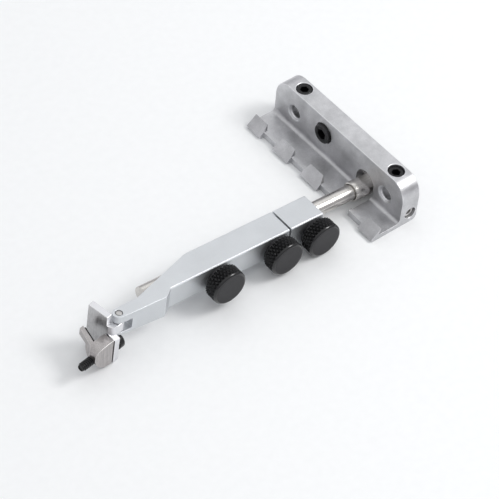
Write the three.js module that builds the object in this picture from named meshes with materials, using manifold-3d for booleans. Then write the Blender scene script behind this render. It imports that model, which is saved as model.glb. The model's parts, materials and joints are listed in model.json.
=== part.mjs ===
// Tremolo lock for an electric guitar: a spring claw with a pivoting guide rod, on which a
// stop collar and a dog-leg receiver arm slide and are locked by thumbscrews, with a small
// swivelling screw clamp at the arm's far end.
//
// Millimetres, +Z up. The origin is on the underside of the claw's foot, below the wall's
// front face and halfway between the two mounting holes. The guide rod leaves the claw
// towards -X, and the thumbscrews point towards -Y. Each group is drawn about the plane of
// the guide rod, and the assembly is moved to the origin at the end.

import * as THREE from 'three';
import { mergeVertices } from 'three/addons/utils/BufferGeometryUtils.js';
import Module from 'manifold-3d';

const wasm = await Module();
wasm.setup();

// ---------------------------------------------------------------- driving dimensions

const SEGMENTS = 32;              // facets round a full turn of a large round part
const PIN_SEGMENTS = 24;          // facets round pins, shanks and their holes
const RUNNING = 0.1;              // radial clearance of what turns or slides
const SEAT = 0.1;                 // clearance round what is screwed or pressed in

const CLAW = {
  length: 57,                     // along Y
  nearEnd: -15.9,                 // Y of the end beside the rod
  wall: 6.4,                      // wall thickness along X
  height: 15.3,
  cornerRadius: 5.5,              // rounded top corners of the wall
  floor: 1.7,                     // foot thickness under the spring channel
  filletRadius: 1.4,              // channel floor to wall
  heelRadius: 1.5,                // rounded lower back edge
  lipInner: -7.9,                 // X of the lip's root, at the channel floor
  lipTip: -7.2,                   // X of the lip's tip, which leans back over the channel
  lipHeight: 3.9,
  toe: -10.7,                     // foremost X of the hooks
  toeHeight: 0.9,
  toeUndercut: 0.6,
};
CLAW.farEnd = CLAW.nearEnd + CLAW.length;

const HOOKS = {
  pitch: 12.8,
  gapAtFoot: 5.9,                 // spring gap between two hooks, at the foot
  gapAtTip: 7.2,                  // and at the lip's tip
  neckFront: -9.1,                // X of the narrow rim that a spring loop sits on
  neckHeight: 2.2,
  besideSlot: {                   // Y where the gaps beside the rod's slot end
    far: { foot: 8.65, tip: 9.9 },
    near: { foot: -9.7, tip: -10.6 },
  },
  slotOverlap: 1,                 // how far those gaps' cuts run into the slot
};

const SLOT = { width: 7.4, archCentre: 5.6 };

const MOUNT_HOLE = {
  radius: 2,
  sinkRadius: 2.7,                  // countersink's mouth
  sinkDepth: 0.8,
  height: 7.2,
  near: -8.5,
  spacing: 41,
};

const SET_SCREW = {
  radius: 2.35,
  length: 5,
  socket: 2.4,                    // across flats
  socketDepth: 2.4,
  x: 3.2,
  farRecess: 0.2,                 // depth of the screw's top below the claw's
  nearRecess: 0.7,
  chamfer: 0.3,
  pointRadius: 1.65,
  pointLength: 0.7,
};

const FRONT_SCREW = {
  radius: 3.2,
  length: 5,
  proud: 0.9,
  socket: 3.2,
  socketDepth: 2.6,
  y: 19.2,
  z: 9.5,
  chamfer: 0.5,
};

const PIVOT = {
  x: 3.9,
  z: 3.5,
  pinRadius: 1.3,
  pinFar: 9,                      // Y where the pin ends inside the claw
  headRadius: 1.85,
  headLength: 3.4,
  headRecess: 0.8,
  chamfer: 0.35,
};

const ARM_RISE = 4.2;              // degrees that the rod rises from the claw to the clamp at rest

// Stations along the rod are distances from the pivot pin, towards the clamp.
const ROD = { radius: 2.38, start: 4.2, end: 85.2, chamfer: 0.4 };

const ROD_END = { radius: 3.05, end: 9.3, chamfer: 0.25 };

const BAR = { width: 8.7, height: 8, offset: -1.05, corner: 0.35 };
BAR.near = BAR.offset - BAR.width / 2;
BAR.far = BAR.offset + BAR.width / 2;

const COLLAR = { start: 24.8, end: 36.6 };

const RECEIVER = {
  start: 37.2,
  stepStart: 79.2,                // the near side steps out here
  stepEnd: 82,
  stepOut: 1.9,
  taperStart: 67.4,               // the far side starts to narrow here
  taperEnd: 89,
  stepRise: 0.2,                  // how far the narrow front's underside rises at the step
  bottomRise: 1,                  // and at the tip
};

const HINGE = {
  station: 96.3,
  y: -5,
  tipRadius: 1.8,
  pinRadius: 0.95,
  slotBack: 92.8,                 // station where the clevis slot starts
  slotMiddle: -0.3,               // Z of the slot's and the knuckle's middle
  slotHalf: 1.85,
  swivel: 11,                     // degrees that the clamp is turned at rest
};
const PAST_TIP = HINGE.station + HINGE.tipRadius + 1;

const KNOB = {
  radius: 5.55,
  gap: 0.9,                       // from the bar's side to the knob
  shoulderRadius: 4.6,
  shoulder: 0.8,
  band: 3.9,                      // length of the knurled band
  bevel: 0.7,
  faceRadius: 5,
  bore: 3.4,
};
KNOB.length = KNOB.shoulder + KNOB.band + KNOB.bevel;

const SHANK = { radius: 2.05, tipGap: 0.15, tipRadius: 1.5, tipLength: 0.4 };

const THUMBSCREWS = [
  { name: 'collar', station: 28.5 },
  { name: 'receiver_rear', station: 42.2 },
  { name: 'receiver_front', station: 62.9 },
];

// The clamp is drawn about its hinge pin: its own X points back along the arm.
const PLATE = {
  back: -1.95,
  thickness: 1.95,
  far: 7.45,
  step: 0.6,                      // Y of the tall part's near edge
  near: -2.85,
  top: 4.3,
  shelf: -0.4,                    // Z where that edge starts to sweep out to the near edge
  nearTop: -2.1,
  sweep: [0.1, -1.75],            // point that pulls the sweep, in Y and Z
  bottom: -10.6,
  knuckleRadius: 1.65,
  knuckleHalf: 1.6,
  knuckleRound: -1.1,             // X where the knuckle's near side starts to round to the plate
};
PLATE.front = PLATE.back - PLATE.thickness;

const JAW = {
  gap: 0.4,                       // between heel and plate at rest
  near: -2.8,
  heelFar: 0.75,
  nose: -11.25,
  top: -1.5,
  bottom: -10.4,
  crownEnd: -7.6,                 // X where the flat top starts to droop towards the nose
  noseTop: -2.9,
  crownPull: [-10.9, -1.75],      // point that pulls the drooping line, in X and Z
  bluntedTo: -0.5,                // Y where the nose turns back towards the wing
  wingHeight: 2.3,
  wingRoot: [-8.45, 0.75],        // inner line of the wing, root to tip, in X and Y
  wingTip: [-6.28, 6.55],
  wingThickness: 1.35,
  gussetFar: 3,                   // Y that the rounded web under the wing's root reaches
  gussetBottom: -7.2,
};
JAW.heelBack = PLATE.front - JAW.gap;

const PAD = { thickness: 0.4, gap: 0.1, inset: 0.5, height: 1.8 };

const CLAMP_SCREW = {
  radius: 1.3,
  y: -0.95,
  z: -5.8,
  tip: -14.9,
  headRadius: 2.25,
  headLength: 2,
  headGap: 0.2,                   // between the head and the plate
  socket: 2,
  socketDepth: 1.2,
  chamfer: 0.3,
};

// ---------------------------------------------------------------- finishes

function finish(color, roughness, metalness) {
  return new THREE.MeshStandardMaterial({ color, roughness, metalness });
}

const machinedAluminium = finish(0xb4b6b9, 0.42, 1);
const anodisedAluminium = finish(0xccd1d6, 0.4, 1);
const polishedSteel = finish(0xb9b1a6, 0.22, 1);
const brushedSteel = finish(0xa79f96, 0.35, 1);
const satinSteel = finish(0xc4c4c6, 0.35, 1);
const blackOxide = finish(0x17171a, 0.4, 0.6);
const blackAnodised = finish(0x1d1d20, 0.36, 0.5);
const blackRubber = finish(0x101010, 0.8, 0);

// ---------------------------------------------------------------- geometry helpers

const radians = THREE.MathUtils.degToRad;

/** A manifold solid from a closed geometry. */
function solidOf(geometry) {
  const bare = geometry.clone();
  bare.deleteAttribute('normal');
  bare.deleteAttribute('uv');
  const welded = mergeVertices(bare, 1e-5);
  return new wasm.Manifold(new wasm.Mesh({
    numProp: 3,
    vertProperties: new Float32Array(welded.attributes.position.array),
    triVerts: new Uint32Array(welded.index.array),
  }));
}

/** A three.js geometry from a manifold solid. */
function geometryOf(solid) {
  const mesh = solid.getMesh();
  const geometry = new THREE.BufferGeometry();
  const points = new Float32Array(mesh.vertProperties);
  geometry.setAttribute('position', new THREE.BufferAttribute(points, 3));
  geometry.setIndex(new THREE.BufferAttribute(new Uint32Array(mesh.triVerts), 1));
  geometry.computeVertexNormals();
  return geometry;
}

const X_AXIS = new THREE.Vector3(1, 0, 0);
const Y_AXIS = new THREE.Vector3(0, 1, 0);
const Z_AXIS = new THREE.Vector3(0, 0, 1);

function extruded(shape, depth, curveSegments = 8) {
  return new THREE.ExtrudeGeometry(shape, { depth, steps: 1, bevelEnabled: false, curveSegments });
}

/** A Y-Z outline extruded from X = low to X = high. */
function alongX(shape, low, high, curveSegments) {
  const turn = new THREE.Matrix4().makeBasis(Y_AXIS, Z_AXIS, X_AXIS);
  return solidOf(extruded(shape, high - low, curveSegments).applyMatrix4(turn).translate(low, 0, 0));
}

/** An X-Z outline extruded from Y = low to Y = high. */
function alongY(shape, low, high, curveSegments) {
  const turn = new THREE.Matrix4().makeBasis(X_AXIS, Z_AXIS, Y_AXIS.clone().negate());
  return solidOf(extruded(shape, high - low, curveSegments).applyMatrix4(turn).translate(0, high, 0));
}

/** An X-Y outline extruded from Z = low to Z = high. */
function alongZ(shape, low, high, curveSegments) {
  return solidOf(extruded(shape, high - low, curveSegments).translate(0, 0, low));
}

/** A closed outline through the given [u, v] corners. */
function polygon(...corners) {
  return new THREE.Shape(corners.map(([u, v]) => new THREE.Vector2(u, v)));
}

/** A rectangle, low corner to high corner. */
function rectangle(u0, v0, u1, v1) {
  return polygon([u0, v0], [u1, v0], [u1, v1], [u0, v1]);
}

/** A turned solid about the Y axis, from [radius, height] points that rise from axis to axis. */
function turned(profile, segments) {
  return solidOf(new THREE.LatheGeometry(profile.map(([r, h]) => new THREE.Vector2(r, h)), segments));
}

/** Turns a solid made about Y so that its axis lies along X. */
const layAlongX = (solid) => solid.rotate([0, 0, -90]);

/** Turns a solid made about Y so that its axis stands along Z. */
const standAlongZ = (solid) => solid.rotate([90, 0, 0]);

/** A cylinder about Y from low to high, or a cone when topRadius is given. */
function cylinder(radius, low, high, segments = PIN_SEGMENTS, topRadius = radius) {
  return turned([[0, low], [radius, low], [topRadius, high], [0, high]], segments);
}

/** A hole whose facets stay outside the circle of the given radius. */
function bore(radius, low, high, segments = PIN_SEGMENTS) {
  return cylinder(radius / Math.cos(Math.PI / segments), low, high, segments);
}

/** A hexagonal recess, size across its flats, about Y from low to high. */
function hexRecess(size, low, high) {
  return cylinder(size / Math.sqrt(3), low, high, 6);
}

function mesh(name, solid, material) {
  const object = new THREE.Mesh(geometryOf(solid), material);
  object.name = name;
  return object;
}

// ---------------------------------------------------------------- spring claw

/** Section of the claw, in X and Z: foot with its hooked lip, and the wall. */
function clawSection() {
  const { wall, height, floor, filletRadius: fillet, heelRadius: heel } = CLAW;
  const shape = new THREE.Shape();
  shape.moveTo(CLAW.toe + CLAW.toeUndercut, 0);
  shape.lineTo(wall - heel, 0);
  shape.absarc(wall - heel, heel, heel, -Math.PI / 2, 0, false);
  shape.lineTo(wall, height);
  shape.lineTo(0, height);
  shape.lineTo(0, floor + fillet);
  shape.absarc(-fillet, floor + fillet, fillet, 0, -Math.PI / 2, true);
  shape.lineTo(CLAW.lipInner, floor);
  shape.lineTo(CLAW.lipTip, CLAW.lipHeight);
  shape.lineTo(CLAW.toe, CLAW.toeHeight);
  return shape;
}

/** Front outline of the claw, in Y and Z, with its rounded top corners. */
function clawOutline() {
  const { nearEnd, farEnd, height, cornerRadius: r } = CLAW;
  const shape = new THREE.Shape();
  shape.moveTo(nearEnd, 0);
  shape.lineTo(farEnd, 0);
  shape.lineTo(farEnd, height - r);
  shape.absarc(farEnd - r, height - r, r, 0, Math.PI / 2, false);
  shape.lineTo(nearEnd + r, height);
  shape.absarc(nearEnd + r, height - r, r, Math.PI / 2, Math.PI, false);
  return shape;
}

/** The U-shaped slot for the rod, in Y and Z, open through the foot. */
function slotOutline() {
  const half = SLOT.width / 2;
  const shape = new THREE.Shape();
  shape.moveTo(half, -1);
  shape.lineTo(half, SLOT.archCentre);
  shape.absarc(0, SLOT.archCentre, half, 0, Math.PI, false);
  shape.lineTo(-half, -1);
  return shape;
}

/** What is cut away in one spring gap: the lip down to its rim, and the foot in front of it. */
function springGap(lowFoot, highFoot, lowTip, highTip) {
  const clear = CLAW.height;
  const front = CLAW.toe - 1;
  const footCut = alongX(rectangle(lowFoot, -1, highFoot, clear), front, HOOKS.neckFront);
  const spread = (highTip - lowTip - highFoot + lowFoot) / 2;
  const lipCut = alongX(polygon(
    [lowFoot, HOOKS.neckHeight],
    [highFoot, HOOKS.neckHeight],
    [highTip, CLAW.lipHeight],
    [highTip + spread, clear],
    [lowTip - spread, clear],
    [lowTip, CLAW.lipHeight],
  ), front, CLAW.lipTip + 1);
  return footCut.add(lipCut);
}

/** Every gap cut between the hooks, with the low rims beside the rod's slot. */
function springGaps() {
  const { pitch, gapAtFoot, gapAtTip, besideSlot: { far, near }, slotOverlap } = HOOKS;
  const slotSide = SLOT.width / 2 - slotOverlap;
  const between = [1.5, 2.5].map((step) => {
    const middle = step * pitch;
    const [foot, tip] = [gapAtFoot / 2, gapAtTip / 2];
    return springGap(middle - foot, middle + foot, middle - tip, middle + tip);
  });
  return [
    ...between,
    springGap(slotSide, far.foot, slotSide, far.tip),
    springGap(near.foot, -slotSide, near.tip, -slotSide),
  ];
}

function claw() {
  const { wall, height } = CLAW;
  let body = alongY(clawSection(), CLAW.nearEnd, CLAW.farEnd)
    .intersect(alongX(clawOutline(), CLAW.toe - 1, wall + 1));
  const cuts = [alongX(slotOutline(), CLAW.toe - 1, wall + 1, 12), ...springGaps()];

  for (const y of [MOUNT_HOLE.near, MOUNT_HOLE.near + MOUNT_HOLE.spacing]) {
    const drilled = layAlongX(cylinder(MOUNT_HOLE.radius, -1, wall + 1));
    const { sinkRadius, sinkDepth, radius } = MOUNT_HOLE;
    const sunk = layAlongX(cylinder(sinkRadius, 0, sinkDepth, PIN_SEGMENTS, radius));
    cuts.push(drilled.add(sunk).translate([0, y, MOUNT_HOLE.height]));
    const tapped = standAlongZ(bore(SET_SCREW.radius + SEAT, MOUNT_HOLE.height, height + 1));
    cuts.push(tapped.translate([SET_SCREW.x, y, 0]));
  }

  const frontSeat = layAlongX(bore(FRONT_SCREW.radius + SEAT, -1, FRONT_SCREW.length, SEGMENTS));
  cuts.push(frontSeat.translate([0, FRONT_SCREW.y, FRONT_SCREW.z]));

  const headHole = bore(PIVOT.headRadius + SEAT, CLAW.nearEnd - 1, headInnerEnd() + SEAT);
  const pinHole = bore(PIVOT.pinRadius + SEAT, CLAW.nearEnd, PIVOT.pinFar + SEAT);
  cuts.push(headHole.add(pinHole).translate([PIVOT.x, 0, PIVOT.z]));

  for (const cut of cuts) body = body.subtract(cut);
  return body;
}

// ---------------------------------------------------------------- screws and pins in the claw

/** Y where the pivot pin's threaded head ends. */
function headInnerEnd() {
  return CLAW.nearEnd + PIVOT.headRecess + PIVOT.headLength;
}

/** A black cup-point set screw, standing with its socket up at the given height. */
function topSetScrew(top) {
  const { radius, length, socket, socketDepth, chamfer, pointRadius, pointLength } = SET_SCREW;
  const body = turned([
    [0, top - length],
    [pointRadius, top - length],
    [radius, top - length + pointLength],
    [radius, top - chamfer],
    [radius - chamfer, top],
    [0, top],
  ], PIN_SEGMENTS);
  return standAlongZ(body.subtract(hexRecess(socket, top - socketDepth, top + 1)));
}

function frontSocketScrew() {
  const { radius, length, proud, socket, socketDepth, chamfer } = FRONT_SCREW;
  const back = length - SEAT;
  const body = turned([
    [0, -proud],
    [radius - chamfer, -proud],
    [radius, chamfer - proud],
    [radius, back],
    [0, back],
  ], SEGMENTS);
  return layAlongX(body.subtract(hexRecess(socket, -proud - 1, socketDepth - proud)));
}

function pivotPin() {
  const outer = CLAW.nearEnd + PIVOT.headRecess;
  return turned([
    [0, outer],
    [PIVOT.headRadius - PIVOT.chamfer, outer],
    [PIVOT.headRadius, outer + PIVOT.chamfer],
    [PIVOT.headRadius, headInnerEnd()],
    [PIVOT.pinRadius, headInnerEnd()],
    [PIVOT.pinRadius, PIVOT.pinFar],
    [0, PIVOT.pinFar],
  ], PIN_SEGMENTS);
}

// ---------------------------------------------------------------- guide rod

/** The thick eye that turns on the pivot pin: a ball end about the pin and a socket for the rod. */
function rodEnd() {
  const { radius, end, chamfer } = ROD_END;
  const ballSteps = 8;
  const ball = [];
  for (let i = 0; i <= ballSteps; i += 1) {
    const angle = (i / ballSteps) * (Math.PI / 2);
    ball.push([radius * Math.cos(angle), radius * Math.sin(angle)]);
  }
  const front = [[0, -end], [radius - chamfer, -end], [radius, chamfer - end]];
  const body = turned([...front, ...ball], SEGMENTS);
  const socket = bore(ROD.radius + SEAT, -end - 1, SEAT - ROD.start);
  const eye = bore(PIVOT.pinRadius + RUNNING, -radius - 1, radius + 1);
  return layAlongX(body.subtract(socket)).subtract(eye);
}

function guideRod() {
  const { radius, start, end, chamfer } = ROD;
  return layAlongX(turned([
    [0, -end],
    [radius - chamfer, -end],
    [radius, chamfer - end],
    [radius, -start],
    [0, -start],
  ], SEGMENTS));
}

// ---------------------------------------------------------------- collar and receiver arm

/** Section of the square bar that the collar and the receiver are cut from, in Y and Z. */
function barSection() {
  const { near, far, corner } = BAR;
  const half = BAR.height / 2;
  return polygon(
    [near + corner, -half],
    [far - corner, -half],
    [far, corner - half],
    [far, half - corner],
    [far - corner, half],
    [near + corner, half],
    [near, half - corner],
    [near, corner - half],
  );
}

const rodBore = (from, to) => layAlongX(bore(ROD.radius + RUNNING, -to, -from, SEGMENTS));

/** The tapped hole of a thumbscrew, from the bar's near side into the rod's bore. */
function thumbscrewHole(station) {
  return bore(SHANK.radius + RUNNING, BAR.near - 1, 0).translate([-station, 0, 0]);
}

function stopCollar() {
  return alongX(barSection(), -COLLAR.end, -COLLAR.start)
    .subtract(rodBore(COLLAR.start - 1, COLLAR.end + 1))
    .subtract(thumbscrewHole(THUMBSCREWS[0].station));
}

/** Plan of the receiver arm, in X and Y: square body, dog-leg and round clevis tip. */
function receiverPlan() {
  const frontNear = BAR.near - RECEIVER.stepOut;
  const shape = new THREE.Shape();
  shape.moveTo(-RECEIVER.start, BAR.near);
  shape.lineTo(-RECEIVER.start, BAR.far);
  shape.lineTo(-RECEIVER.taperStart, BAR.far);
  shape.lineTo(-RECEIVER.taperEnd, HINGE.y + HINGE.tipRadius);
  shape.lineTo(-HINGE.station, HINGE.y + HINGE.tipRadius);
  shape.absarc(-HINGE.station, HINGE.y, HINGE.tipRadius, Math.PI / 2, -Math.PI / 2, false);
  shape.lineTo(-RECEIVER.stepEnd, frontNear);
  shape.lineTo(-RECEIVER.stepStart, BAR.near);
  return shape;
}

/** Side of the receiver arm, in X and Z: the narrow front's underside rises to the tip. */
function receiverSide() {
  const half = BAR.height / 2;
  return polygon(
    [-RECEIVER.start, half],
    [-PAST_TIP, half],
    [-PAST_TIP, RECEIVER.bottomRise - half],
    [-HINGE.station, RECEIVER.bottomRise - half],
    [-RECEIVER.stepEnd, RECEIVER.stepRise - half],
    [-RECEIVER.stepStart, -half],
    [-RECEIVER.start, -half],
  );
}

function receiverArm() {
  const half = BAR.height / 2;
  const reach = BAR.width + 2;
  const chamfered = alongX(barSection(), -RECEIVER.stepStart, -RECEIVER.start);
  const square = alongX(rectangle(-reach, -half, reach, half), -PAST_TIP, -RECEIVER.stepStart);
  let body = alongZ(receiverPlan(), -half, half, 12)
    .intersect(alongY(receiverSide(), -reach, reach))
    .intersect(chamfered.add(square));
  const { slotMiddle, slotHalf } = HINGE;
  const slotBottom = slotMiddle - slotHalf;
  const clevisSlot = rectangle(-PAST_TIP, slotBottom, -HINGE.slotBack, slotMiddle + slotHalf);
  const pinHole = standAlongZ(bore(HINGE.pinRadius + SEAT, -half - 1, half + 1));
  const cuts = [
    rodBore(RECEIVER.start - 1, PAST_TIP),
    ...THUMBSCREWS.slice(1).map(({ station }) => thumbscrewHole(station)),
    alongY(clevisSlot, -reach, reach),
    pinHole.translate([-HINGE.station, HINGE.y, 0]),
  ];
  for (const cut of cuts) body = body.subtract(cut);
  return body;
}

function hingePin() {
  const half = BAR.height / 2;
  const pin = cylinder(HINGE.pinRadius, RECEIVER.bottomRise - half, half);
  return standAlongZ(pin).translate([-HINGE.station, HINGE.y, 0]);
}

// ---------------------------------------------------------------- thumbscrews

/** The knurled band is a plain cylinder here; the knob's inner side faces +Y. */
function thumbscrewKnob() {
  const inner = BAR.near - KNOB.gap;
  const bandStart = inner - KNOB.shoulder;
  const bandEnd = bandStart - KNOB.band;
  const face = bandEnd - KNOB.bevel;
  const body = turned([
    [0, face],
    [KNOB.faceRadius, face],
    [KNOB.radius, bandEnd],
    [KNOB.radius, bandStart],
    [KNOB.shoulderRadius, bandStart],
    [KNOB.shoulderRadius, inner],
    [0, inner],
  ], SEGMENTS);
  return body.subtract(bore(SHANK.radius + SEAT, inner - KNOB.bore, inner + 1));
}

function thumbscrewShank() {
  const tip = -ROD.radius - SHANK.tipGap;
  const root = BAR.near - KNOB.gap - KNOB.bore + SEAT;
  return turned([
    [0, root],
    [SHANK.radius, root],
    [SHANK.radius, tip - SHANK.tipLength],
    [SHANK.tipRadius, tip],
    [0, tip],
  ], PIN_SEGMENTS);
}

// ---------------------------------------------------------------- end clamp

/** Front of the plate, in Y and Z: tall on the far side, and swept out below the knuckle. */
function plateOutline() {
  const { far, step, near, top, shelf, nearTop, sweep, bottom } = PLATE;
  const shape = new THREE.Shape();
  shape.moveTo(near, bottom);
  shape.lineTo(far, bottom);
  shape.lineTo(far, top);
  shape.lineTo(step, top);
  shape.lineTo(step, shelf);
  shape.quadraticCurveTo(...sweep, near, nearTop);
  return shape;
}

/** Plan of the knuckle, in X and Y, rounded from its near side to the plate's front. */
function knucklePlan() {
  const { front, step, knuckleRadius: r, knuckleRound } = PLATE;
  const shape = new THREE.Shape();
  shape.moveTo(0, -r);
  shape.lineTo(0, r);
  shape.lineTo(front, r);
  shape.lineTo(front, step);
  shape.quadraticCurveTo(front, -r, knuckleRound, -r);
  return shape;
}

function clampPlate() {
  const { front, back, knuckleRadius, knuckleHalf } = PLATE;
  const plate = alongX(plateOutline(), front, back);
  const low = HINGE.slotMiddle - knuckleHalf;
  const high = HINGE.slotMiddle + knuckleHalf;
  const block = alongZ(knucklePlan(), low, high);
  const barrel = standAlongZ(cylinder(knuckleRadius, low, high));
  const pinHole = standAlongZ(bore(HINGE.pinRadius + RUNNING, low - 1, high + 1));
  const screwHole = layAlongX(bore(CLAMP_SCREW.radius + SEAT, front - 1, back + 1));
  return plate.add(block).add(barrel)
    .subtract(pinHole)
    .subtract(screwHole.translate([0, CLAMP_SCREW.y, CLAMP_SCREW.z]));
}

/** Plan of the jaw: the heel behind the screw, and the wing that leans towards the plate. */
function jawPlan() {
  const { near, heelBack, heelFar, nose, bluntedTo, wingRoot, wingTip, wingThickness } = JAW;
  return polygon(
    [heelBack, near],
    [heelBack, heelFar],
    wingRoot,
    wingTip,
    [wingTip[0] - wingThickness, wingTip[1]],
    [wingRoot[0] - wingThickness, wingRoot[1]],
    [nose, bluntedTo],
    [nose, near],
  );
}

/** Side of the jaw, in X and Z: a quarter disc under an almost flat top. */
function jawSide() {
  const { heelBack, top, bottom, nose, noseTop, crownPull, crownEnd } = JAW;
  const radius = heelBack - nose;
  const shape = new THREE.Shape();
  shape.moveTo(PLATE.front, top);
  shape.lineTo(PLATE.front, bottom);
  shape.lineTo(heelBack, bottom);
  shape.absarc(heelBack, bottom + radius, radius, -Math.PI / 2, -Math.PI, true);
  shape.lineTo(nose, noseTop);
  shape.quadraticCurveTo(...crownPull, crownEnd, top);
  return shape;
}

/** What is cleared under the wing, in Y and Z, down to the rounded web at its root. */
function underWingOutline(farSide) {
  const { top, bottom, heelFar, wingHeight, gussetFar, gussetBottom } = JAW;
  const underside = top - wingHeight;
  const shape = new THREE.Shape();
  shape.moveTo(heelFar, bottom - 1);
  shape.lineTo(farSide, bottom - 1);
  shape.lineTo(farSide, underside);
  shape.lineTo(gussetFar, underside);
  shape.quadraticCurveTo(gussetFar, gussetBottom, heelFar, gussetBottom);
  return shape;
}

function clampJaw() {
  const { top, bottom, near, nose } = JAW;
  const farSide = JAW.wingTip[1] + 1;
  const body = alongZ(jawPlan(), bottom - 1, top + 1)
    .intersect(alongY(jawSide(), near - 1, farSide, 12));
  const underWing = alongX(underWingOutline(farSide), nose - 1, 0, 6);
  const threadHole = layAlongX(bore(CLAMP_SCREW.radius + SEAT, nose - 1, PLATE.front));
  return body.subtract(underWing).subtract(threadHole.translate([0, CLAMP_SCREW.y, CLAMP_SCREW.z]));
}

/** A thin pad on the wing's inner face. */
function jawPad() {
  const { thickness, gap, inset, height } = PAD;
  const root = new THREE.Vector2(...JAW.wingRoot);
  const along = new THREE.Vector2(...JAW.wingTip).sub(root);
  const middle = JAW.top - JAW.wingHeight / 2;
  const outline = rectangle(gap, inset, gap + thickness, along.length() - inset);
  const strip = alongZ(outline, -height / 2, height / 2);
  const lean = THREE.MathUtils.radToDeg(along.angle()) - 90;
  return strip.rotate([0, 0, lean]).translate([root.x, root.y, middle]);
}

function clampScrew() {
  const { radius, tip, headRadius, headLength, headGap, socket, socketDepth, chamfer } = CLAMP_SCREW;
  const seat = PLATE.back + headGap;
  const head = seat + headLength;
  const body = turned([
    [0, tip],
    [radius - chamfer, tip],
    [radius, tip + chamfer],
    [radius, seat],
    [headRadius, seat],
    [headRadius, head - chamfer],
    [headRadius - chamfer, head],
    [0, head],
  ], PIN_SEGMENTS);
  const recessed = body.subtract(hexRecess(socket, head - socketDepth, head + 1));
  return layAlongX(recessed).translate([0, CLAMP_SCREW.y, CLAMP_SCREW.z]);
}

// ---------------------------------------------------------------- assembly

function clawGroup() {
  const group = new THREE.Group();
  group.add(mesh('spring_claw', claw(), machinedAluminium));

  const screwTops = [
    ['top_set_screw_near', MOUNT_HOLE.near, SET_SCREW.nearRecess],
    ['top_set_screw_far', MOUNT_HOLE.near + MOUNT_HOLE.spacing, SET_SCREW.farRecess],
  ];
  for (const [name, y, recess] of screwTops) {
    const screw = mesh(name, topSetScrew(0), blackOxide);
    screw.position.set(SET_SCREW.x, y, CLAW.height - recess);
    group.add(screw);
  }

  const front = mesh('front_socket_screw', frontSocketScrew(), blackOxide);
  front.position.set(0, FRONT_SCREW.y, FRONT_SCREW.z);
  group.add(front);

  const pin = mesh('pivot_pin', pivotPin(), satinSteel);
  pin.position.set(PIVOT.x, 0, PIVOT.z);
  group.add(pin);
  return group;
}

function clampGroup() {
  const group = new THREE.Group();
  group.position.set(-HINGE.station, HINGE.y, 0);
  group.rotation.z = radians(HINGE.swivel);
  group.add(
    mesh('clamp_plate', clampPlate(), satinSteel),
    mesh('clamp_jaw', clampJaw(), brushedSteel),
    mesh('jaw_pad', jawPad(), blackRubber),
    mesh('clamp_screw', clampScrew(), blackOxide),
  );
  return group;
}

function armGroup() {
  const group = new THREE.Group();
  group.position.set(PIVOT.x, 0, PIVOT.z);
  group.rotation.y = radians(ARM_RISE);
  group.add(
    mesh('rod_end', rodEnd(), polishedSteel),
    mesh('guide_rod', guideRod(), polishedSteel),
    mesh('stop_collar', stopCollar(), anodisedAluminium),
    mesh('receiver_arm', receiverArm(), anodisedAluminium),
    mesh('hinge_pin', hingePin(), satinSteel),
  );
  for (const { name, station } of THUMBSCREWS) {
    const knob = mesh(`${name}_knob`, thumbscrewKnob(), blackAnodised);
    const shank = mesh(`${name}_screw`, thumbscrewShank(), blackOxide);
    for (const piece of [knob, shank]) {
      piece.position.x = -station;
      group.add(piece);
    }
  }
  group.add(clampGroup());
  return group;
}

const assembly = new THREE.Group();
assembly.position.y = -(MOUNT_HOLE.near + MOUNT_HOLE.spacing / 2);
assembly.add(clawGroup(), armGroup());

const tremoloLock = new THREE.Group();
tremoloLock.add(assembly);

export default tremoloLock;
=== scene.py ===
"""Visual model of a guitar tremolo lock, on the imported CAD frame."""

import json
import math

import bmesh
import bpy
from mathutils import Matrix, Vector


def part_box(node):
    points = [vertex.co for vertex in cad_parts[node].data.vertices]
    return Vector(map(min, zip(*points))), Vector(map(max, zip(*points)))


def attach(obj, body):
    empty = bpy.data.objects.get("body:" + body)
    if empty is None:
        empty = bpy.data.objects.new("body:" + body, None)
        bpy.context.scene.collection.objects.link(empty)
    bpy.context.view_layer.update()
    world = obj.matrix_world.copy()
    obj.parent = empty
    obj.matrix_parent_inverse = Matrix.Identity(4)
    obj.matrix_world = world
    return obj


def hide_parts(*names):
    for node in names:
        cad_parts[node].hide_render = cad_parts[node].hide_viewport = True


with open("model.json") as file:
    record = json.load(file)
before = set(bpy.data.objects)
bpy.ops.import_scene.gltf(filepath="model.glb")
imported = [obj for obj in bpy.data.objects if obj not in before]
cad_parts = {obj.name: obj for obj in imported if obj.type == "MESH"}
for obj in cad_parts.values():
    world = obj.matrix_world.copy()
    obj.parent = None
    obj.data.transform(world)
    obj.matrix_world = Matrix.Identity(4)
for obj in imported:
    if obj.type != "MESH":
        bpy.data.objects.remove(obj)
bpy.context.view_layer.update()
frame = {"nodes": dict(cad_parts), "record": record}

MM = 0.001
RECORD = frame["record"]
JOINTS = {joint["name"]: joint for joint in RECORD["behaviour"]["joints"]}
BODY_OF = {node: body for body, nodes in RECORD["behaviour"]["bodies"].items() for node in nodes}


def joint_axis(name):
    return Vector(JOINTS[name]["axis"]).normalized()


def joint_place(name):
    return Vector(JOINTS[name]["pos_m"])


def basis(x, y, z, origin):
    """A matrix with these local axes, at this place."""
    rotation = Matrix((x, y, z)).transposed().to_4x4()
    return Matrix.Translation(origin) @ rotation


# Directions: along the rod away from its pivot, up through the arm, and along the clamp screw.
ALONG_ROD = joint_axis("receiver_slide")
ARM_UP = Vector((0, 1, 0)).cross(ALONG_ROD).normalized()
CLAMP_AXIS = joint_axis("jaw_travel")


# ---------------------------------------------------------------- materials

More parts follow.
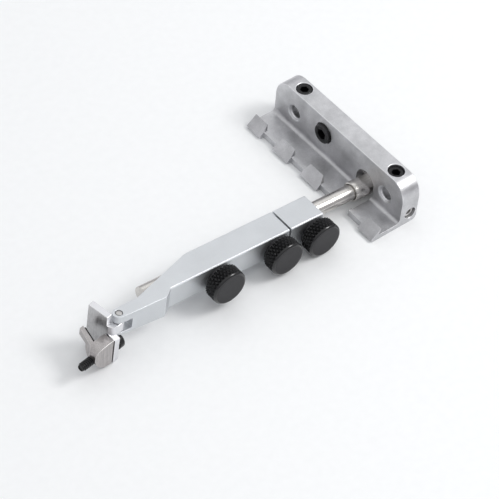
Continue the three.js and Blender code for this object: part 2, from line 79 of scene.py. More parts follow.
class Nodes:
    """A short way to write a material's node tree."""

    def __init__(self, name):
        self.material = bpy.data.materials.new(name)
        self.material.use_nodes = True
        self.tree = self.material.node_tree
        self.shader = self.tree.nodes["Principled BSDF"]
        self.place = self.add("ShaderNodeTexCoord").outputs["Object"]

    def add(self, kind, inputs=(), **settings):
        node = self.tree.nodes.new(kind)
        for key, value in settings.items():
            setattr(node, key, value)
        for key, value in dict(inputs).items():
            self.put(node.inputs[key], value)
        return node

    def put(self, socket, value):
        if isinstance(value, bpy.types.NodeSocket):
            self.tree.links.new(value, socket)
        else:
            socket.default_value = value

    def stretched(self, scale, turn=(0, 0, 0)):
        """Object coordinates, turned and then scaled per axis, so that noise becomes streaks."""
        turned = self.add("ShaderNodeMapping", {"Vector": self.place, "Rotation": turn})
        return self.add("ShaderNodeMapping", {"Vector": turned.outputs[0], "Scale": scale}).outputs[0]

    def noise(self, per_mm, detail=3.0, rough=0.55, where=None):
        where = self.place if where is None else where
        inputs = {"Vector": where, "Scale": per_mm / MM, "Detail": detail, "Roughness": rough}
        return self.add("ShaderNodeTexNoise", inputs).outputs["Fac"]

    def cells(self, per_mm):
        inputs = {"Vector": self.place, "Scale": per_mm / MM}
        return self.add("ShaderNodeTexVoronoi", inputs, feature="F1").outputs["Distance"]

    def map(self, value, low, high, to_low, to_high):
        inputs = {0: value, 1: low, 2: high, 3: to_low, 4: to_high}
        return self.add("ShaderNodeMapRange", inputs).outputs[0]

    def math(self, operation, a, b):
        return self.add("ShaderNodeMath", {0: a, 1: b}, operation=operation).outputs[0]

    def mix(self, factor, a, b):
        node = self.add("ShaderNodeMix", {"Factor": factor}, data_type="RGBA")
        self.put(node.inputs["A"], (*a, 1) if isinstance(a, tuple) else a)
        self.put(node.inputs["B"], (*b, 1) if isinstance(b, tuple) else b)
        return node.outputs["Result"]

    def bump(self, height, depth_mm, strength, over=None):
        inputs = {"Height": height, "Distance": depth_mm * MM, "Strength": strength}
        if over is not None:
            inputs["Normal"] = over
        return self.add("ShaderNodeBump", inputs).outputs[0]

    def surface(self, **values):
        for key, value in values.items():
            self.put(self.shader.inputs[key.replace("_", " ")], value)
        return self.material


def shade(colour, factor):
    return tuple(min(1.0, channel * factor) for channel in colour)


def tumbled(name, base, low, high, dents=0.03, dark=0.86, light=1.1):
    """Machined and tumbled aluminium: cloudy tone, fine grain, small dents and hairline scratches."""
    n = Nodes(name)
    clouds = n.noise(0.16, detail=5, rough=0.62)
    grain = n.noise(3.2, detail=3)
    scratches = n.noise(1.6, detail=2, where=n.stretched((0.35, 1, 4.5), (0.5, 0.3, 0.6)))
    tone = n.mix(n.map(clouds, 0.34, 0.68, 0, 1), shade(base, dark), shade(base, light))
    speckle = n.map(grain, 0.35, 0.75, 0, 0.35)
    tone = n.mix(speckle, tone, shade(base, 0.7))
    tone = n.mix(n.map(scratches, 0.66, 0.72, 0, 0.4), tone, shade(base, 1.3))
    rough = n.map(n.math("ADD", clouds, grain), 0.7, 1.3, low, high)
    normal = n.bump(grain, 0.03, 0.7)
    normal = n.bump(n.map(n.cells(1.1), 0, 0.35, 0, 1), dents, 0.5, normal)
    normal = n.bump(scratches, 0.01, 0.5, normal)
    return n.surface(Base_Color=tone, Metallic=1.0, Roughness=rough, Normal=normal)


def anodised(name, base, low, high):
    """Pale anodised aluminium: etched satin skin with faint mill lines along the arm."""
    n = Nodes(name)
    clouds = n.noise(0.09, detail=4)
    etch = n.noise(7.0, detail=3, rough=0.7)
    mill = n.noise(1.2, detail=2, where=n.stretched((0.06, 1, 2.2)))
    tone = n.mix(n.map(clouds, 0.3, 0.7, 0, 1), shade(base, 0.95), shade(base, 1.04))
    tone = n.mix(n.map(etch, 0.45, 0.8, 0, 0.3), tone, shade(base, 0.82))
    tone = n.mix(n.map(mill, 0.6, 0.75, 0, 0.2), tone, shade(base, 1.12))
    rough = n.map(etch, 0.25, 0.75, low, high)
    normal = n.bump(etch, 0.012, 0.7)
    normal = n.bump(mill, 0.006, 0.5, normal)
    return n.surface(Base_Color=tone, Metallic=0.92, Roughness=rough, Normal=normal)


# Turns streaks, which run along a piece's X, to run along its Z.
X_TO_Z = (0, math.radians(90), 0)


def ground(name, base, low, high, dark=0.72, depth=0.02):
    """Ground or drawn steel: close parallel lines along Z, with darker flecks."""
    n = Nodes(name)
    lines = n.noise(2.4, detail=4, rough=0.6, where=n.stretched((0.05, 1.6, 1.6), X_TO_Z))
    flecks = n.noise(0.9, detail=4, rough=0.6)
    tone = n.mix(n.map(lines, 0.35, 0.7, 0, 1), shade(base, dark), shade(base, 1.12))
    tone = n.mix(n.map(flecks, 0.5, 0.72, 0, 0.45), tone, shade(base, 0.62))
    rough = n.map(lines, 0.3, 0.7, low, high)
    normal = n.bump(lines, depth, 0.6)
    return n.surface(Base_Color=tone, Metallic=1.0, Roughness=rough, Normal=normal)


def black_metal(name, base, low, high, rings=0.0, sheen=0.0):
    """Black anodised or oxide finish: fine grain, a few rubbed spots, and turning rings if wanted."""
    n = Nodes(name)
    grain = n.noise(5.0, detail=3)
    rubbed = n.noise(0.7, detail=5, rough=0.65)
    tone = n.mix(n.map(rubbed, 0.58, 0.8, 0, 0.6), base, shade(base, 2.6))
    tone = n.mix(n.map(grain, 0.5, 0.85, 0, 0.5), tone, shade(base, 0.4))
    rough = n.map(n.math("ADD", grain, rubbed), 0.7, 1.4, low, high)
    normal = n.bump(grain, 0.014, 0.6)
    if rings:
        across = n.add("ShaderNodeTexWave", {"Vector": n.place, "Scale": rings / MM, "Distortion": 0.4},
                       wave_type="RINGS", rings_direction="Z").outputs["Fac"]
        normal = n.bump(across, 0.004, 0.35, normal)
    return n.surface(Base_Color=tone, Metallic=0.35, Roughness=rough, Normal=normal,
                     Coat_Weight=sheen, Coat_Roughness=0.25)


def soft_black(name, base, low, high):
    """Matt rubber with a fine leathery skin."""
    n = Nodes(name)
    skin = n.cells(5.5)
    dust = n.noise(1.4, detail=4)
    tone = n.mix(n.map(dust, 0.45, 0.8, 0, 0.7), base, shade(base, 2.4))
    rough = n.map(dust, 0.3, 0.7, low, high)
    return n.surface(Base_Color=tone, Roughness=rough, Normal=n.bump(skin, 0.03, 0.6))


CLAW_METAL = tumbled("claw_aluminium", (0.62, 0.62, 0.635), 0.32, 0.5, dark=0.78, light=1.14)
# Painted highlight: the claw's rounded edges take a lighter, smoother metal, and the lighter tone stands
# in for the light the edges catch.
CLAW_EDGE_HIGHLIGHT = tumbled("claw_edge_painted_highlight", (0.8, 0.805, 0.82), 0.28, 0.4, dents=0.015, dark=0.9, light=1.06)
ARM_METAL = anodised("arm_anodised", (0.67, 0.69, 0.71), 0.4, 0.52)
# Painted highlight: the arm's rounded edges take a lighter, smoother anodised tone, which stands in for
# the light the edges catch.
ARM_EDGE_HIGHLIGHT = anodised("arm_edge_painted_highlight", (0.76, 0.785, 0.81), 0.32, 0.42)
ROD_METAL = ground("rod_polished", (0.64, 0.62, 0.595), 0.2, 0.28, dark=0.86, depth=0.0012)
PIN_METAL = ground("pin_satin_steel", (0.55, 0.54, 0.53), 0.25, 0.38, dark=0.85, depth=0.006)
PLATE_METAL = ground("plate_satin_steel", (0.54, 0.535, 0.54), 0.26, 0.38, dark=0.85, depth=0.01)
# Plate sides: a blasted finish, and also painted light, since they are painted lighter than the steel face
# to match the lit near side.
PLATE_SIDE_PAINTED_LIGHT = anodised("plate_blasted_side_painted_light", (0.8, 0.8, 0.82), 0.42, 0.55)
# Painted highlight: the plate's rounded edges take a lighter steel, which stands in for the light the
# edges catch.
PLATE_EDGE_HIGHLIGHT = ground("plate_edge_painted_highlight", (0.8, 0.8, 0.8), 0.22, 0.32, dark=0.93, depth=0.006)
JAW_METAL = ground("jaw_ground_steel", (0.5, 0.475, 0.47), 0.27, 0.42)
# Painted highlight: the jaw's rounded edges take a lighter steel, which stands in for the light the edges
# catch.
JAW_EDGE_HIGHLIGHT = ground("jaw_edge_painted_highlight", (0.66, 0.64, 0.63), 0.28, 0.4, dark=0.9, depth=0.008)
KNOB_BLACK = black_metal("knob_black_anodised", (0.014, 0.0135, 0.016), 0.36, 0.46, rings=2.2)
KNOB_KNURL = black_metal("knob_knurled_band", (0.006, 0.006, 0.007), 0.22, 0.34)
KNOB_EDGE = black_metal("knob_polished_bevel", (0.008, 0.008, 0.009), 0.1, 0.17, sheen=0.5)
OXIDE = black_metal("screw_black_oxide", (0.007, 0.007, 0.008), 0.26, 0.4)
OXIDE_EDGE = black_metal("screw_rubbed_edge", (0.03, 0.03, 0.033), 0.2, 0.3)
PAD_BLACK = soft_black("pad_rubber", (0.012, 0.012, 0.012), 0.65, 0.85)


# ---------------------------------------------------------------- pieces

def declare(obj, node):
    """The piece stands for this CAD node and rides on its body."""
    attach(obj, BODY_OF[node])
    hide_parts(node)


def new_object(name, mesh, materials, where=None):
    obj = bpy.data.objects.new(name, mesh)
    bpy.context.scene.collection.objects.link(obj)
    if where is not None:
        obj.matrix_world = where
    mesh.materials.clear()
    for material in materials:
        mesh.materials.append(material)
    return obj


def smooth_by_angle(mesh, degrees):
    """Smooth faces, with the edges sharper than this marked sharp."""
    bm = bmesh.new()
    bm.from_mesh(mesh)
    limit = math.radians(degrees)
    for face in bm.faces:
        face.smooth = True
    for edge in bm.edges:
        edge.smooth = len(edge.link_faces) == 2 and edge.calc_face_angle(0) < limit
    bm.to_mesh(mesh)
    bm.free()


BEVEL_SLOT = 1
FACE_SLOT = 2
SHARP_DEGREES = 31      # edges sharper than this are rounded
FLAT_DEGREES = 0.8      # edges flatter than this are dissolved
WELD = 2e-6             # metres: points closer than this are one point
ROOM_SHARE = 0.42       # how much of the room between two edges each rounding may take
NEIGHBOUR_RATIO = 1.6   # how much wider an edge may be rounded than the one beside it
EASING_ROUNDS = 3       # how far a narrow rounding narrows the ones around it
LEAST_WEIGHT = 0.08     # edges with less than this share of the full width stay sharp
WIDEST_CORNER = 3.0     # radians: keeps the tangent of half a corner finite
SAME_PLANE = 0.99999    # cosine between two faces of one flat
BESIDE_ROUNDING = 0.4   # cosine between a rounding's face and the flat that it runs into
LOOKS_THAT_WAY = 0.98   # cosine between a face and the direction it is chosen by


def to_segment(point, a, b):
    """Distance from a point to the segment from a to b."""
    along = b - a
    t = max(0.0, min(1.0, (point - a).dot(along) / max(along.length_squared, 1e-18)))
    return (point - a - along * t).length


def room_between(first, second):
    """How wide two sharp edges of one face may be rounded before the roundings meet."""
    shared = set(first.verts) & set(second.verts)
    if not shared:
        gaps = []
        for one, other in ((first, second), (second, first)):
            start, end = (v.co for v in one.verts)
            ends = [v.co for v in other.verts]
            gaps += [to_segment(start.lerp(end, i / 4), *ends) for i in range(5)]
        return ROOM_SHARE * min(gaps)
    corner = shared.pop()
    arms = [edge.other_vert(corner).co - corner.co for edge in (first, second)]
    corner_angle = arms[0].angle(arms[1], math.pi)
    shorter = min(arm.length for arm in arms)
    return ROOM_SHARE * shorter * math.tan(min(corner_angle, WIDEST_CORNER) / 2)


def prepare_edges(mesh, width):
    """Joins the CAD's coplanar triangles into whole faces, and weighs the edges to be rounded.

    A sharp edge weighs 1, or less where there is no room for the full width.
    Concave faces are split last, so that the new edges between their parts stay unweighted.
    """
    bm = bmesh.new()
    bm.from_mesh(mesh)
    layer = bm.edges.layers.float.new("bevel_weight_edge")
    bmesh.ops.remove_doubles(bm, verts=bm.verts, dist=WELD)
    bmesh.ops.dissolve_degenerate(bm, edges=bm.edges, dist=WELD)
    bmesh.ops.dissolve_limit(bm, angle_limit=math.radians(FLAT_DEGREES), verts=bm.verts, edges=bm.edges)
    bm.normal_update()
    limit = math.radians(SHARP_DEGREES)
    sharp = {e for e in bm.edges if len(e.link_faces) == 2 and e.calc_face_angle(0) > limit}
    room = {edge: width for edge in sharp}
    for face in bm.faces:
        edges = [edge for edge in face.edges if edge in sharp]
        for i, first in enumerate(edges):
            for second in edges[i + 1:]:
                free = room_between(first, second)
                room[first] = min(room[first], free)
                room[second] = min(room[second], free)
    for _ in range(EASING_ROUNDS):
        eased = {}
        for edge in sharp:
            beside = [other for v in edge.verts for other in v.link_edges if other in sharp]
            eased[edge] = min(room[other] * (1 if other is edge else NEIGHBOUR_RATIO) for other in beside)
        room = eased
    for edge in sharp:
        weight = room[edge] / width
        edge[layer] = weight if weight > LEAST_WEIGHT else 0.0
    bmesh.ops.connect_verts_concave(bm, faces=bm.faces)
    for face in bm.faces:
        face.material_index = 0
        face.smooth = True
    bm.to_mesh(mesh)
    bm.free()


def refill_flats(mesh):
    """Fills a flat face again inside its outline, where the rounding has folded parts of it over."""
    bm = bmesh.new()
    bm.from_mesh(mesh)
    bm.normal_update()
    seen, flats = set(), []
    for start in bm.faces:
        if start in seen or start.material_index == BEVEL_SLOT:
            continue
        flat, queue = {start}, [start]
        while queue:
            face = queue.pop()
            beside = {other for edge in face.edges for other in edge.link_faces} - flat
            for other in beside:
                parallel = abs(other.normal.dot(face.normal)) > SAME_PLANE
                if parallel and other.material_index != BEVEL_SLOT:
                    flat.add(other)
                    queue.append(other)
        seen |= flat
        normal = sum((face.normal * face.calc_area() for face in flat), Vector())
        if any(face.normal.dot(normal) < 0 for face in flat):
            flats.append((flat, normal.normalized()))
    for flat, normal in flats:
        edges = {edge for face in flat for edge in face.edges}
        outline = [edge for edge in edges if sum(face in flat for face in edge.link_faces) == 1]
        bmesh.ops.delete(bm, geom=list(flat), context="FACES_KEEP_BOUNDARY")
        filled = bmesh.ops.triangle_fill(bm, use_beauty=True, edges=outline, normal=normal)["geom"]
        for face in (item for item in filled if isinstance(item, bmesh.types.BMFace)):
            face.smooth = True
            face.material_index = 0
            if face.normal.dot(normal) < 0:
                face.normal_flip()
    bm.to_mesh(mesh)
    bm.free()


def settle_normals(mesh):
    """Flat faces shade flat up to their rounded edges, and runs of facets shade smooth."""
    alike = math.cos(math.radians(SHARP_DEGREES))
    around = [[] for _ in mesh.vertices]
    for polygon in mesh.polygons:
        corners = [mesh.vertices[v].co for v in polygon.vertices]
        for i, v in enumerate(polygon.vertices):
            before, after = corners[i - 1] - corners[i], corners[(i + 1) % len(corners)] - corners[i]
            spread = before.angle(after, 0)
            around[v].append((polygon.normal.copy(), polygon.material_index == BEVEL_SLOT, spread))
    normals = []
    for polygon in mesh.polygons:
        rounded = polygon.material_index == BEVEL_SLOT
        for v in polygon.vertices:
            plain = [(n, w) for n, is_bevel, w in around[v] if not is_bevel]
            group = plain or [(n, w) for n, _, w in around[v]]
            limit = BESIDE_ROUNDING if rounded else alike
            close = [(n, w) for n, w in group if n.dot(polygon.normal) > limit] or group
            total = sum((n * w for n, w in close), Vector())
            normals.append(total.normalized() if total.length > 1e-9 else polygon.normal.copy())
    mesh.normals_split_custom_set(normals)


def refined(node, name, metal, edge_metal, width, segments=3, face=None, refill=False):
    """The CAD solid with its flat faces merged, and every edge rounded and given edge_metal, which on most
    pieces is lighter as a painted highlight.

    face is (metal, direction): the flat faces that look that way take that metal. refill fills
    the flat faces afresh after the rounding.
    """
    mesh = frame["nodes"][node].data.copy()
    prepare_edges(mesh, width * MM)
    rough = new_object(name + "_rough", mesh, (metal,))
    bevel = rough.modifiers.new("rounded_edges", "BEVEL")
    bevel.width = width * MM
    bevel.segments = segments
    bevel.limit_method = "WEIGHT"
    bevel.use_clamp_overlap = False
    bevel.loop_slide = False
    bevel.material = BEVEL_SLOT
    mesh.materials.append(edge_metal)
    graph = bpy.context.evaluated_depsgraph_get()
    finished = bpy.data.meshes.new_from_object(rough.evaluated_get(graph))
    bpy.data.objects.remove(rough)
    finished.name = name
    if refill:
        refill_flats(finished)
    for polygon in finished.polygons:
        polygon.use_smooth = True
        if face and polygon.material_index == 0 and polygon.normal.dot(face[1]) > LOOKS_THAT_WAY:
            polygon.material_index = FACE_SLOT
    settle_normals(finished)
    slots = [polygon.material_index for polygon in finished.polygons]
    obj = new_object(name, finished, (metal, edge_metal) + ((face[0],) if face else ()))
    finished.polygons.foreach_set("material_index", slots)
    declare(obj, node)


def rings_mesh(name, rings):
    """A mesh through rings of points, each ring a list of the same length, with capped ends."""
    count = len(rings[0])
    vertices = [point for ring in rings for point in ring]
    faces = []
    for i in range(len(rings) - 1):
        for j in range(count):
            k = (j + 1) % count
            faces.append((i * count + j, i * count + k, (i + 1) * count + k, (i + 1) * count + j))
    faces.append(tuple(reversed(range(count))))
    faces.append(tuple(range((len(rings) - 1) * count, len(rings) * count)))
    mesh = bpy.data.meshes.new(name)
    mesh.from_pydata([tuple(c * MM for c in v) for v in vertices], [], faces)
    return mesh


def paint_bands(mesh, bands, count, slot):
    """Gives the bands of faces between rings a material slot."""
    for i in bands:
        for j in range(count):
            mesh.polygons[i * count + j].material_index = slot


def circle(radius, height, count):
    """One ring about Z. The radius may be a number or a function of the angle."""
    ring = []
    for j in range(count):
        angle = 2 * math.pi * j / count
        r = radius(angle) if callable(radius) else radius
        ring.append((r * math.cos(angle), r * math.sin(angle), height))
    return ring


def hexagon(flats, height, count):
    """A hexagonal ring with as many points as its neighbour circles; count is a multiple of 6."""
    apothem = flats / 2

    def radius(angle):
        return apothem / math.cos((angle + math.pi / 6) % (math.pi / 3) - math.pi / 6)

    return circle(radius, height, count)


def lathe(node, name, profile, metal, where, count=96):
    """A turned piece about Z, from a profile of radii and heights."""
    mesh = rings_mesh(name, [circle(r, h, count) for r, h in profile])
    obj = new_object(name, mesh, (metal,), where)
    smooth_by_angle(mesh, 40)
    declare(obj, node)


def local_range(place, direction, node):
    """The lowest and highest position of a CAD node along a direction from a place, in mm."""
    steps = [(vertex.co - place).dot(direction) / MM for vertex in frame["nodes"][node].data.vertices]
    return min(steps), max(steps)


def facing(direction, place):
    """A matrix at a place whose Z points along a direction."""
    return Matrix.Translation(place) @ direction.to_track_quat("Z", "Y").to_matrix().to_4x4()


def groove(phase):
    """A V profile: 0 at the groove's bottom and 1 half a pitch away."""
    return 1 - abs(2 * (phase % 1.0) - 1)


KNURL = {"teeth": 30, "depth": 0.44, "flat": 0.6, "slope": 32}
KNOB = {"radius": 5.5, "band": 3.9, "root": 0.8}
KNOB_BACK = ((2.2, 0.9), (2.2, 0.15), (2.35, 0), (4.3, 0), (4.5, 0.08), (4.6, 0.28))   # radius, height
KNOB_BEVEL = ((5.47, 0.66), (5.44, 0.56), (5.38, 0.44), (5.29, 0.31), (5.17, 0.18), (5.02, 0.08),
              (4.88, 0.02))   # radius, depth below the face


def knurl_radius(radius, height):
    """Radius round a diamond-knurled band at a height, as a function of the angle."""
    pitch = 2 * math.pi * radius / KNURL["teeth"]
    lead = pitch / math.tan(math.radians(KNURL["slope"]))

    def at(angle):
        turn = KNURL["teeth"] * angle / (2 * math.pi)
        diamond = min(groove(turn + height / lead), groove(turn - height / lead))
        return radius - KNURL["depth"] * (1 - min(1.0, diamond / KNURL["flat"]))

    return at


def knob(node, spin):
    """A thumbscrew head: domed edge, flat turned face, diamond-knurled band and smooth shoulder."""
    outward = joint_axis(spin)
    place = joint_place(spin)
    low, high = local_range(place, outward, node)
    count = KNURL["teeth"] * 10
    top = KNOB["radius"] - 0.02
    band_start = low + KNOB["root"]
    band_end = band_start + KNOB["band"]
    rings = [circle(r, low + up, count) for r, up in KNOB_BACK]
    rings.append(circle(4.6, band_start - 0.02, count))
    rings.append(circle(4.75, band_start + 0.03, count))
    rings.append(circle(top - KNURL["depth"] - 0.1, band_start + 0.05, count))
    knurl_from = len(rings)
    steps = 24
    start, end = band_start + 0.25, band_end - 0.05
    for i in range(steps + 1):
        height = start + (end - start) * i / steps
        rings.append(circle(knurl_radius(top, height), height, count))
    knurl_to = len(rings) - 1
    bevel_from = len(rings)
    face = high - 0.02
    for r, back in KNOB_BEVEL:
        rings.append(circle(r, face - back, count))
    rings.append(circle(4.8, face, count))
    bevel_to = len(rings) - 1
    for r in (4.2, 3.2, 2.2, 1.2, 0.4):
        rings.append(circle(r, face - 0.02 * (1 - r / 4.2), count))
    mesh = rings_mesh(node, rings)
    obj = new_object(node + "_knurled", mesh, (KNOB_BLACK, KNOB_EDGE, KNOB_KNURL), facing(outward, place))
    paint_bands(mesh, range(bevel_from, bevel_to), count, 1)
    paint_bands(mesh, range(knurl_from - 1, knurl_to), count, 2)
    smooth_by_angle(mesh, 38)
    declare(obj, node)


PITCH_8_32 = 0.794
SHANK_RADIUS = 2.03
SHANK_THREAD = 0.38


def thread_ring(radius, depth, pitch, height, count, taper):
    """One ring of a helical V thread at a height; a taper below 1 makes the crest lower."""
    def at(angle):
        crest = min(1.0, 1.25 * groove(height / pitch - angle / (2 * math.pi)))
        return radius - depth * (1 - crest * taper)

    return circle(at, height, count)


def threaded(radius, depth, pitch, low, high, count):
    """Rings of a threaded shank from low to high, whose thread runs out at both ends."""
    rings = []
    steps = max(8, int((high - low) / (pitch / 7)))
    for i in range(steps + 1):
        height = low + (high - low) * i / steps
        near_end = min(height - low, high - height)
        rings.append(thread_ring(radius, depth, pitch, height, count, min(1.0, near_end / (0.6 * pitch))))
    return rings


def shank(node, spin):
    """The threaded shank of a thumbscrew, with a turned dog point."""
    outward = joint_axis(spin)
    place = joint_place(spin)
    low, high = local_range(place, outward, node)
    count = 36
    dog = 0.4
    rings = [circle(1.2, low + 0.02, count), circle(1.45, low + 0.1, count), circle(1.5, low + dog, count)]
    rings += threaded(SHANK_RADIUS, SHANK_THREAD, PITCH_8_32, low + dog + 0.05, high - 0.1, count)
    rings.append(circle(1.3, high - 0.02, count))
    mesh = rings_mesh(node, rings)
    obj = new_object(node + "_threaded", mesh, (OXIDE,), facing(outward, place))
    smooth_by_angle(mesh, 50)
    declare(obj, node)


def socket_screw(node, name, where, low, high, radius, pitch, flats, depth, head=None, count=48):
    """A threaded screw whose hex socket opens at the high end. head is (radius, length) or None."""
    bare = 0.3 if head is None else head[1]
    rim = radius if head is None else head[0]
    rings = [circle(radius * 0.55, low + 0.25, count), circle(radius * 0.62, low + 0.02, count),
             circle(radius * 0.72, low + 0.02, count)]
    thread = min(0.3, 0.42 * pitch)
    rings += threaded(radius - 0.02, thread, pitch, low + 0.3, high - bare - 0.05, count)
    if head is not None:
        rings.append(circle(radius * 0.96, high - bare, count))
        rings.append(circle(rim - 0.12, high - bare + 0.01, count))
        rings.append(circle(rim, high - bare + 0.12, count))
    edge_from = len(rings)
    rings.append(circle(rim - 0.02, high - 0.36, count))
    rings.append(circle(rim - 0.06, high - 0.2, count))
    rings.append(circle(rim - 0.18, high - 0.06, count))
    rings.append(circle(rim - 0.34, high - 0.01, count))
    edge_to = len(rings) - 1
    rings.append(circle(flats / math.sqrt(3) + 0.16, high - 0.01, count))
    rings.append(hexagon(flats, high - 0.1, count))
    rings.append(hexagon(flats, high - depth, count))
    rings.append(circle(flats * 0.42, high - depth - 0.06, count))
    rings.append(circle(0.1, high - depth - 0.5, count))
    mesh = rings_mesh(name, rings)
    obj = new_object(name, mesh, (OXIDE, OXIDE_EDGE), where)
    paint_bands(mesh, range(edge_from, edge_to), count, 1)
    smooth_by_angle(mesh, 35)
    declare(obj, node)


def centre_of(node):
    low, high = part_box(node)
    return (Vector(low) + Vector(high)) / 2


# Claw, arm and clamp: the CAD's own shapes with rounded edges, most of them painted lighter as a
# highlight.
refined("spring_claw", "claw_casting", CLAW_METAL, CLAW_EDGE_HIGHLIGHT, 0.34, refill=True)
refined("stop_collar", "collar_block", ARM_METAL, ARM_EDGE_HIGHLIGHT, 0.13)
refined("receiver_arm", "receiver_bar", ARM_METAL, ARM_EDGE_HIGHLIGHT, 0.13)
# The plate's face that looks along the screw takes the darker steel. Its other faces are painted lighter
# as painted light, and its edges take a painted highlight.
refined("clamp_plate", "clamp_back_plate", PLATE_SIDE_PAINTED_LIGHT, PLATE_EDGE_HIGHLIGHT, 0.13, face=(PLATE_METAL, -CLAMP_AXIS))
refined("clamp_jaw", "clamp_moving_jaw", JAW_METAL, JAW_EDGE_HIGHLIGHT, 0.12)
refined("jaw_pad", "clamp_pad", PAD_BLACK, PAD_BLACK, 0.1, segments=2)

# Guide rod: a long turned bar with rounded ends.
PIVOT = joint_place("shaft_pivot")
ROD_RADIUS = 2.37
rod_low, rod_high = local_range(PIVOT, ALONG_ROD, "guide_rod")
rod_length = rod_high - rod_low
rod_profile = [(0.4, rod_low), (1.9, rod_low), (2.3, rod_low + 0.12), (ROD_RADIUS, rod_low + 0.4)]
rod_profile += [(ROD_RADIUS, rod_low + (rod_length - 0.8) * i / 12 + 0.4) for i in range(1, 13)]
rod_profile += [(2.3, rod_high - 0.12), (1.95, rod_high - 0.02), (0.5, rod_high)]
lathe("guide_rod", "guide_rod_turned", rod_profile, ROD_METAL, facing(ALONG_ROD, PIVOT))

# Rod end: a sleeve with a ball end, and the rod's bore in its other end.
SLEEVE_RADIUS = 3.04
SLEEVE_BORE = 2.5
_, sleeve_high = local_range(PIVOT, ALONG_ROD, "rod_end")
ball = [(SLEEVE_RADIUS * math.cos(a), -SLEEVE_RADIUS * math.sin(a))
        for a in (math.radians(d) for d in range(84, -1, -7))]
sleeve_profile = ball + [(SLEEVE_RADIUS, sleeve_high * i / 4) for i in range(1, 4)]
sleeve_profile += [(SLEEVE_RADIUS, sleeve_high - 0.16), (2.99, sleeve_high - 0.05), (2.9, sleeve_high),
                   (2.56, sleeve_high), (SLEEVE_BORE, sleeve_high - 0.06), (SLEEVE_BORE, 4.6), (0.4, 4.3)]
lathe("rod_end", "rod_end_sleeve", sleeve_profile, ROD_METAL, facing(ALONG_ROD, PIVOT))

# Hinge pin: peened ends in the clevis.
SWIVEL = joint_place("clamp_swivel")
PIN_RADIUS = 0.93
pin_low, pin_high = local_range(SWIVEL, ARM_UP, "hinge_pin")
pin_profile = [(0.3, pin_low), (0.7, pin_low + 0.04), (PIN_RADIUS, pin_low + 0.2),
               (PIN_RADIUS, pin_high - 0.22), (0.88, pin_high - 0.1), (0.72, pin_high - 0.03),
               (0.3, pin_high)]
lathe("hinge_pin", "hinge_pin_peened", pin_profile, PIN_METAL, facing(ARM_UP, SWIVEL), 48)

# Pivot pin: a headed pin across the claw, with a turned hollow in its head.
NEAR_SIDE = Vector((0, -1, 0))
SHAFT_RADIUS = 1.28
HEAD_RADIUS = 1.83
HEAD_LENGTH = 3.4
pivot_low, pivot_high = local_range(PIVOT, NEAR_SIDE, "pivot_pin")
head = pivot_high - HEAD_LENGTH
pivot_profile = [(0.5, pivot_low), (1.1, pivot_low + 0.02), (SHAFT_RADIUS, pivot_low + 0.2),
                 (SHAFT_RADIUS, head), (1.7, head + 0.02), (HEAD_RADIUS, head + 0.15),
                 (HEAD_RADIUS, pivot_high - 0.3), (1.72, pivot_high - 0.1), (1.5, pivot_high - 0.01),
                 (1.05, pivot_high - 0.02), (0.9, pivot_high - 0.12), (0.82, pivot_high - 0.8),
                 (0.1, pivot_high - 1.1)]
lathe("pivot_pin", "pivot_pin_turned", pivot_profile, PIN_METAL, facing(NEAR_SIDE, PIVOT), 48)

# Thumbscrews.
for prefix, node in (("collar", "collar"), ("rear", "receiver_rear"), ("front", "receiver_front")):
    knob(node + "_knob", prefix + "_knob_spin")
    shank(node + "_screw", prefix + "_knob_spin")

# Set screws standing in the claw's top, and the large one in its front face.
for node in ("top_set_screw_near", "top_set_screw_far"):
    middle = centre_of(node)
    low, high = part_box(node)
    where = Matrix.Translation((middle.x, middle.y, 0))
    socket_screw(node, node + "_cup_point", where, low[2] / MM, high[2] / MM, 2.33, PITCH_8_32, 2.4, 2.2)
middle = centre_of("front_socket_screw")
low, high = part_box("front_socket_screw")
where = facing(Vector((-1, 0, 0)), Vector((0, middle.y, middle.z)))
socket_screw("front_socket_screw", "front_socket_screw_threaded", where, -high[0] / MM, -low[0] / MM,
             3.17, 1.06, 3.2, 2.4)

# Clamp screw, with its head behind the plate.
screw_place = joint_place("clamp_screw_spin")
low, high = local_range(screw_place, CLAMP_AXIS, "clamp_screw")
socket_screw("clamp_screw", "clamp_screw_threaded", facing(CLAMP_AXIS, screw_place), low, high,
             1.29, 0.635, 2.0, 1.1, head=(2.24, 1.98), count=36)


# ---------------------------------------------------------------- floor, light and camera

def floor_material():
    n = Nodes("studio_floor")
    paper = n.noise(0.4, detail=4)
    tone = n.mix(n.map(paper, 0.3, 0.7, 0, 1), (0.905, 0.915, 0.92), (0.925, 0.935, 0.94))
    return n.surface(Base_Color=tone, Roughness=0.75, Normal=n.bump(paper, 0.01, 0.2))


FLOOR_HALF = 1.6
FLOOR_GAP = 0.00002   # metres, so that the floor and the underside don't share a plane
floor_mesh = bpy.data.meshes.new("studio_floor")
floor_corners = [(x * FLOOR_HALF, y * FLOOR_HALF, 0) for x, y in ((-1, -1), (1, -1), (1, 1), (-1, 1))]
floor_mesh.from_pydata(floor_corners, [], [(0, 1, 2, 3)])
floor = new_object("studio_floor", floor_mesh, (floor_material(),), Matrix.Translation((0, 0, -FLOOR_GAP)))

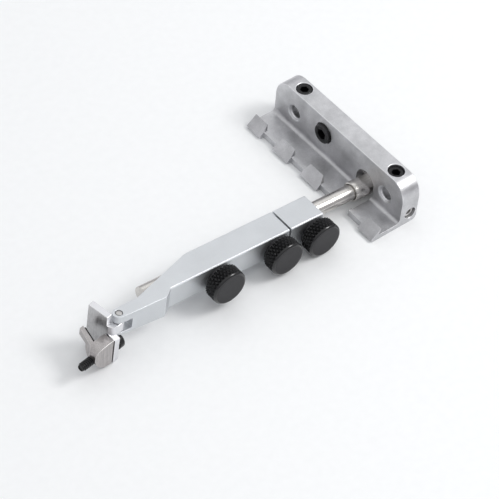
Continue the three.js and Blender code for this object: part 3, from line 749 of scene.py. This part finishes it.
# A plain dome, brighter overhead than at the horizon.
world = bpy.data.worlds.new("soft_studio")
bpy.context.scene.world = world
world.use_nodes = True
tree = world.node_tree
background = tree.nodes["Background"]
direction = tree.nodes.new("ShaderNodeTexCoord").outputs["Generated"]
split = tree.nodes.new("ShaderNodeSeparateXYZ")
tree.links.new(direction, split.inputs[0])
ramp = tree.nodes.new("ShaderNodeValToRGB")
ramp.color_ramp.elements[0].position = 0.0
ramp.color_ramp.elements[0].color = (0.46, 0.45, 0.49, 1)
ramp.color_ramp.elements[1].position = 0.75
ramp.color_ramp.elements[1].color = (0.98, 0.99, 1, 1)
tree.links.new(split.outputs["Z"], ramp.inputs["Fac"])
tree.links.new(ramp.outputs["Color"], background.inputs["Color"])
background.inputs["Strength"].default_value = 0.84

AIM = Vector((-0.043, -0.012, 0.005))


def softbox(name, azimuth, elevation, distance, width, height, watts, colour=(1, 1, 1)):
    """An area light at a bearing from the object; azimuth 0 is along +X and 90 along +Y."""
    light = bpy.data.lights.new(name, "AREA")
    light.shape = "RECTANGLE"
    light.size = width
    light.size_y = height
    light.energy = watts
    light.color = colour
    a, e = math.radians(azimuth), math.radians(elevation)
    away = Vector((math.cos(e) * math.cos(a), math.cos(e) * math.sin(a), math.sin(e)))
    obj = bpy.data.objects.new(name, light)
    obj.location = AIM + away * distance
    obj.rotation_euler = (-away).to_track_quat("-Z", "Y").to_euler()
    bpy.context.scene.collection.objects.link(obj)


softbox("key_softbox", -34, 46, 0.8, 0.28, 0.28, 2.5, (1, 0.99, 0.98))
softbox("back_softbox", 45, 50, 0.9, 0.7, 0.5, 0.42, (0.97, 0.985, 1))

# Camera: fitted bearing, tilt and roll, from 0.58 m.
ELEVATION, AZIMUTH, ROLL = (math.radians(v) for v in (47.71, 47.31, 5.44))
TARGET = Vector((-0.0436, -0.01307, 0.005))
DISTANCE = 0.57649
SENSOR = 36.0   # the sensor and the lens are in mm
LENS = 148.7846
level = Vector((math.cos(AZIMUTH), math.sin(AZIMUTH), 0))
look = math.cos(ELEVATION) * level - math.sin(ELEVATION) * Vector((0, 0, 1))
right = look.cross(Vector((0, 0, 1))).normalized()
up = right.cross(look)
tilted_right = math.cos(ROLL) * right + math.sin(ROLL) * up
tilted_up = -math.sin(ROLL) * right + math.cos(ROLL) * up
camera_data = bpy.data.cameras.new("camera")
camera_data.sensor_width = SENSOR
camera_data.lens = LENS
camera_data.clip_start = 0.01
camera_data.clip_end = 20
camera = bpy.data.objects.new("camera", camera_data)
camera.matrix_world = basis(tilted_right, tilted_up, -look, TARGET - look * DISTANCE)
bpy.context.scene.collection.objects.link(camera)
bpy.context.scene.camera = camera
bpy.context.scene.view_settings.view_transform = "Standard"


def plain(box):
    return [[float(value) for value in corner] for corner in box]
